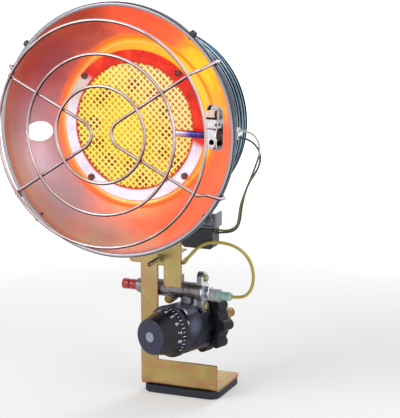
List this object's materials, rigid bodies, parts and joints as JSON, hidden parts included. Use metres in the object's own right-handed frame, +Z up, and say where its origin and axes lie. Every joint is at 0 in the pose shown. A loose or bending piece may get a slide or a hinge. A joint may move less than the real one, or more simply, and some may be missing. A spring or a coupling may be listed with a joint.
{
  "type": "portable propane heater",
  "caption": "Infrared gas heater with a round reflector, woven mesh burner, wire guard, regulator with knob and handwheel, safety valve, tip-over switch and a bracket with a foot.",
  "frame": {"origin": "middle of the fuel inlet's thread, on the axis of the inlet and the control knob", "axes": "+X is on the right of someone who faces the dish, +Y runs to the back, towards the cylinder's valve, and +Z is up. The dish looks along -Y, 3 degrees up. The inlet and knob axis lies level, 19.5 degrees off the Y axis."},
  "size_m": [0.2168, 0.1783, 0.3601],
  "materials": {
    "bright_bowl": "polished, slightly brushed round the axis",
    "bright_screw": "bright plated",
    "bright_shield": "bright rolled sheet",
    "burner_case": "heat-darkened",
    "glowing_mesh": "woven wire, glowing orange",
    "bright_ring": "polished",
    "guard_wire": "drawn wire, nickel plated",
    "zinc_bracket": "yellow zinc plating with a rainbow sheen",
    "zinc_screw": "yellow zinc plating",
    "black_rubber": "matt",
    "tube_metal": "drawn tube",
    "brass": "turned",
    "grey_metal": "turned",
    "sensor_metal": "heat-tinted",
    "sensor_plate": "bright sheet",
    "ceramic": "fired clay, matt",
    "switch_plate": "grey sheet",
    "black_plastic": "moulded, matt",
    "cast_metal": "die-cast",
    "clear_sleeve": "clear plastic tube",
    "green_sleeve": "soft sleeve",
    "yellow_lead": "insulated wire",
    "olive_lead": "insulated wire",
    "dark_lead": "insulated wire",
    "red_button": "moulded",
    "spring_steel": "drawn wire",
    "wheel_plastic": "moulded, matt",
    "knob_plastic": "moulded, dark blue-grey",
    "cap_plastic": "grey"
  },
  "bodies": {
    "heater": {"reflector": "bright_bowl", "rim_screws": "bright_screw", "rear_shield": "bright_shield", "burner_housing": "burner_case", "inner_baffle": "burner_case", "outer_mesh": "glowing_mesh", "retaining_ring": "bright_ring", "burner_screws": "bright_screw", "guard_ring_outer": "guard_wire", "guard_ring_middle": "guard_wire", "guard_ring_inner": "guard_wire", "guard_left_wire": "guard_wire", "guard_right_wire": "guard_wire", "support_bracket": "zinc_bracket", "foot_pad": "black_rubber", "clamp_bolt": "zinc_screw", "clamp_nut": "zinc_screw", "tube_shelf": "zinc_bracket", "mixing_tube": "tube_metal", "gas_jet": "brass", "burner_standoffs": "grey_metal", "shield_standoffs": "grey_metal", "frame_screws": "zinc_screw", "thermocouple": "sensor_metal", "sensor_bracket": "sensor_plate", "ceramic_block": "ceramic", "lead_insulator": "ceramic", "lead_clip": "sensor_plate", "switch_bracket": "switch_plate", "switch_rivets": "bright_screw", "tip_switch_box": "black_plastic", "tip_switch_cover": "black_plastic", "pendulum_pin": "bright_screw", "valve_body": "cast_metal", "valve_screws": "zinc_screw", "test_plug": "brass", "magnet_plate": "cast_metal", "plate_screws": "zinc_screw", "magnet_unit": "brass", "lead_sleeve": "clear_sleeve", "lead_boot": "green_sleeve", "magnet_lead": "yellow_lead", "sensor_lead_front": "olive_lead", "sensor_lead_back": "dark_lead", "button_collar": "grey_metal", "button_spring": "spring_steel", "inlet_nipple": "brass", "nose_seal": "black_rubber", "regulator_body": "cast_metal", "diaphragm": "black_rubber", "regulator_bonnet": "cast_metal", "regulator_spring": "spring_steel"},
    "knob": {"control_knob": "knob_plastic", "knob_cap": "cap_plastic", "knob_stem": "grey_metal"},
    "seat": {"spring_seat": "grey_metal"},
    "wheel": {"handwheel": "wheel_plastic", "inlet_nut": "brass"},
    "button": {"reset_button": "red_button"},
    "pendulum": {"tilt_pendulum": "grey_metal"}
  },
  "joints": [
    {"name": "knob_turn", "type": "hinge", "parent": "heater", "child": "knob", "pos_m": [0, 0, 0], "axis": [-0.3338, -0.9426, 0], "range_deg": [0, 270]},
    {"name": "seat_slide", "type": "slide", "parent": "heater", "child": "seat", "axis": [0.3338, 0.9426, 0], "range_m": [0, 0.003], "deforming": ["regulator_spring"]},
    {"name": "wheel_turn", "type": "hinge", "parent": "heater", "child": "wheel", "pos_m": [0, 0, 0], "axis": [0.3338, 0.9426, 0], "continuous": true},
    {"name": "button_press", "type": "slide", "parent": "heater", "child": "button", "axis": [1, 0, 0], "range_m": [0, 0.004], "stiffness_N_per_m": 400, "deforming": ["button_spring"]},
    {"name": "pendulum_swing", "type": "hinge", "parent": "heater", "child": "pendulum", "pos_m": [0.0012, -0.042, 0.0906], "axis": [0, 1, 0], "range_deg": [-18, 18]}
  ],
  "couplings": [
    {"joint": "seat_slide", "follows": "knob_turn", "m_per_rad": 0.000636}
  ]
}
